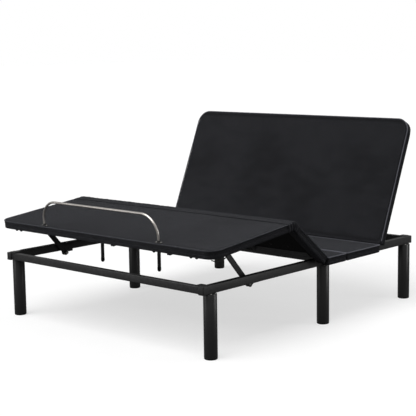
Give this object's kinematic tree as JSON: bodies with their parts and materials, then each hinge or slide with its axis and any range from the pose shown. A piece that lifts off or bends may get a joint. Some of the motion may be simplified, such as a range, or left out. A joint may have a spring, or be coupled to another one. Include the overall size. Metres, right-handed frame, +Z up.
{
  "type": "adjustable bed base",
  "caption": "Motorised bed base: steel frame on round legs with a black upholstered deck whose head, thigh and foot sections lift and fold; shown raised.",
  "frame": {"origin": "on the floor, under the centre of the bounding box of the raised base", "axes": "+X to the right-hand side seen from the foot end, +Y towards the head end, +Z up"},
  "size_m": [1.52, 1.7055, 1.0006],
  "materials": {
    "frame_steel": "satin black powder coat",
    "leg_steel": "satin black powder coat",
    "glide_rubber": "matt black rubber",
    "panel_board": "dark stained board",
    "cover_fabric": "charcoal woven upholstery",
    "subframe_steel": "satin black powder coat",
    "hinge_zinc": "zinc plated",
    "retainer_nickel": "satin nickel",
    "actuator_plastic": "matt black",
    "actuator_tube": "satin black powder coat",
    "actuator_rod": "polished steel",
    "cable_rubber": "matt black",
    "rail_strip_rubber": "matt black"
  },
  "bodies": {
    "frame": {"control_box": "actuator_plastic", "cross_rail_foot": "frame_steel", "cross_rail_head": "frame_steel", "cross_tube_middle": "frame_steel", "cross_tube_rear": "frame_steel", "glide_foot_left": "glide_rubber", "glide_foot_right": "glide_rubber", "glide_head_left": "glide_rubber", "glide_head_right": "glide_rubber", "glide_middle_left": "glide_rubber", "glide_middle_right": "glide_rubber", "hinge_pin_head": "hinge_zinc", "hinge_pin_seat": "hinge_zinc", "leg_foot_left": "leg_steel", "leg_foot_right": "leg_steel", "leg_head_left": "leg_steel", "leg_head_right": "leg_steel", "leg_middle_left": "leg_steel", "leg_middle_right": "leg_steel", "link_bolt_left": "hinge_zinc", "link_bolt_right": "hinge_zinc", "power_supply": "actuator_plastic", "rail_strip_left": "rail_strip_rubber", "rail_strip_right": "rail_strip_rubber", "seat_cover_front": "cover_fabric", "seat_cover_rear": "cover_fabric", "seat_hinge_front": "hinge_zinc", "seat_hinge_rear": "hinge_zinc", "seat_panel_front": "panel_board", "seat_panel_rear": "panel_board", "side_rail_foot_left": "frame_steel", "side_rail_foot_right": "frame_steel", "side_rail_head_left": "frame_steel", "side_rail_head_right": "frame_steel"},
    "thigh": {"thigh_panel": "panel_board", "thigh_cover": "cover_fabric", "thigh_frame": "subframe_steel", "hinge_pin_knee": "hinge_zinc"},
    "foot": {"foot_panel": "panel_board", "foot_cover": "cover_fabric", "foot_frame": "subframe_steel", "foot_post_left": "subframe_steel", "foot_post_right": "subframe_steel", "retainer_bar": "retainer_nickel", "retainer_socket_left": "subframe_steel", "retainer_socket_right": "subframe_steel", "knee_gusset": "cover_fabric", "corner_cable": "cable_rubber"},
    "head": {"head_panel": "panel_board", "head_cover": "cover_fabric", "head_frame": "subframe_steel"},
    "lift_link_left": {"lift_link_left": "subframe_steel"},
    "lift_link_right": {"lift_link_right": "subframe_steel"},
    "head_motor": {"head_actuator_motor": "actuator_plastic", "head_actuator_tube": "actuator_tube"},
    "head_rod": {"head_actuator_rod": "actuator_rod"},
    "leg_motor": {"leg_actuator_motor": "actuator_plastic", "leg_actuator_tube": "actuator_tube"},
    "leg_rod": {"leg_actuator_rod": "actuator_rod"}
  },
  "joints": [
    {"name": "head_lift", "type": "hinge", "parent": "frame", "child": "head", "pos_m": [0, 0.4625, 0.353], "axis": [1, 0, 0], "range_deg": [-67, 0]},
    {"name": "leg_lift", "type": "hinge", "parent": "frame", "child": "thigh", "pos_m": [0, -0.0005, 0.353], "axis": [-1, 0, 0], "range_deg": [-38.5, 0]},
    {"name": "knee_fold", "type": "hinge", "parent": "thigh", "child": "foot", "pos_m": [0, -0.26815, 0.5659], "axis": [1, 0, 0], "range_deg": [-45, 0]},
    {"name": "lift_link_left_pivot", "type": "hinge", "parent": "frame", "child": "lift_link_left", "pos_m": [-0.652, -0.4935, 0.29459], "axis": [1, 0, 0], "range_deg": [0, 46]},
    {"name": "lift_link_right_pivot", "type": "hinge", "parent": "frame", "child": "lift_link_right", "pos_m": [0.652, -0.4935, 0.29459], "axis": [1, 0, 0], "range_deg": [0, 46]},
    {"name": "head_motor_pivot", "type": "hinge", "parent": "frame", "child": "head_motor", "pos_m": [-0.25, 0.0545, 0.282], "axis": [1, 0, 0], "range_deg": [-4.6, 0]},
    {"name": "head_rod_slide", "type": "slide", "parent": "head_motor", "child": "head_rod", "axis": [0, 1, -0.0006], "range_m": [-0.1125, 0]},
    {"name": "leg_motor_pivot", "type": "hinge", "parent": "frame", "child": "leg_motor", "pos_m": [-0.12, 0.3335, 0.285], "axis": [1, 0, 0], "range_deg": [0, 5.4]},
    {"name": "leg_rod_slide", "type": "slide", "parent": "leg_motor", "child": "leg_rod", "axis": [0, -0.9999, 0.0149], "range_m": [-0.0541, 0]}
  ],
  "couplings": [
    {"joint": "knee_fold", "follows": "leg_lift", "ratio": 1.1558},
    {"joint": "lift_link_left_pivot", "follows": "leg_lift", "ratio": -1.1769},
    {"joint": "lift_link_right_pivot", "follows": "leg_lift", "ratio": -1.1769},
    {"joint": "head_motor_pivot", "follows": "head_lift", "ratio": 0.06584},
    {"joint": "head_rod_slide", "follows": "head_lift", "m_per_rad": 0.09599},
    {"joint": "leg_motor_pivot", "follows": "leg_lift", "ratio": -0.1355},
    {"joint": "leg_rod_slide", "follows": "leg_lift", "m_per_rad": 0.08008}
  ]
}
